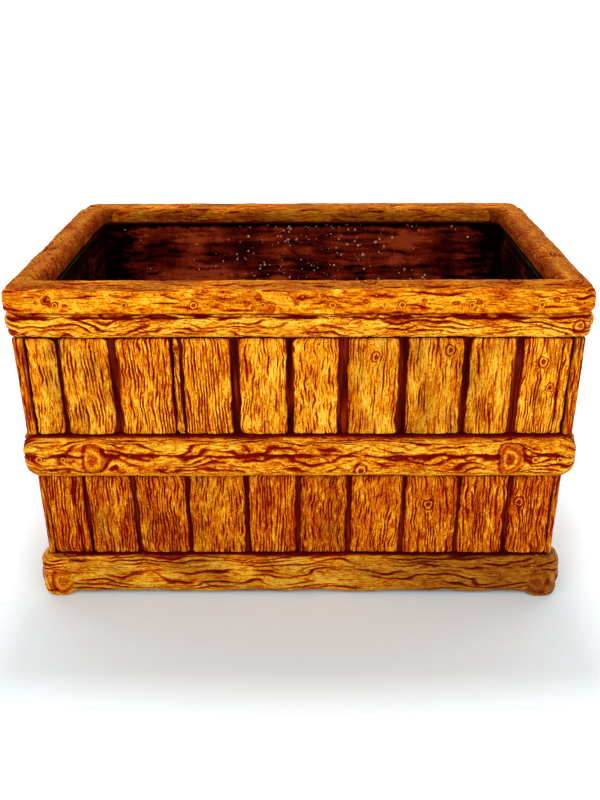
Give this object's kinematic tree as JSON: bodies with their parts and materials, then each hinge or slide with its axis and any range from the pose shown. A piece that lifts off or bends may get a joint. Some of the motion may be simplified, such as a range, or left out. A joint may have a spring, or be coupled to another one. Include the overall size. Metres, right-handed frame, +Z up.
{
  "type": "planter box",
  "caption": "Rectangular planter box moulded like rustic boards, with a log rim, wavy rails and corner feet in antiqued gold and maroon.",
  "frame": {"origin": "on the ground, under the centre of the planter", "axes": "+X along the length to the right, +Y from front to back, +Z up"},
  "size_m": [0.5616, 0.3976, 0.338],
  "materials": {
    "trough": "dark maroon stain under a worn gloss sealer",
    "boards": "ochre gold rubbed over maroon, satin",
    "rails": "ochre gold rubbed over maroon, satin",
    "rim": "ochre gold on the front, umber brown on top and at the back, satin",
    "nails": "burnt orange over maroon, satin"
  },
  "bodies": {
    "root": {"floor_slab": "trough", "wall_front": "trough", "wall_back": "trough", "wall_left": "trough", "wall_right": "trough", "rim_log_front": "rim", "rim_log_back": "rim", "rim_log_left": "rim", "rim_log_right": "rim", "upper_rail_front": "rails", "upper_rail_back": "rails", "upper_rail_left": "rails", "upper_rail_right": "rails", "mid_rail_front": "rails", "mid_rail_back": "rails", "mid_rail_left": "rails", "mid_rail_right": "rails", "base_rail_front": "rails", "base_rail_back": "rails", "base_rail_left": "rails", "base_rail_right": "rails", "foot_front_left": "rails", "foot_front_right": "rails", "foot_back_left": "rails", "foot_back_right": "rails", "corner_posts_upper": "boards", "corner_posts_lower": "boards", "front_upper_board_1": "boards", "front_upper_board_2": "boards", "front_upper_board_3": "boards", "front_upper_board_4": "boards", "front_upper_board_5": "boards", "front_upper_board_6": "boards", "front_upper_board_7": "boards", "front_upper_board_8": "boards", "front_upper_board_9": "boards", "front_upper_board_10": "boards", "front_lower_board_1": "boards", "front_lower_board_2": "boards", "front_lower_board_3": "boards", "front_lower_board_4": "boards", "front_lower_board_5": "boards", "front_lower_board_6": "boards", "front_lower_board_7": "boards", "front_lower_board_8": "boards", "front_lower_board_9": "boards", "front_lower_board_10": "boards", "back_upper_boards": "boards", "back_lower_boards": "boards", "left_upper_boards": "boards", "left_lower_boards": "boards", "right_upper_boards": "boards", "right_lower_boards": "boards", "nail_heads": "nails"}
  },
  "joints": []
}
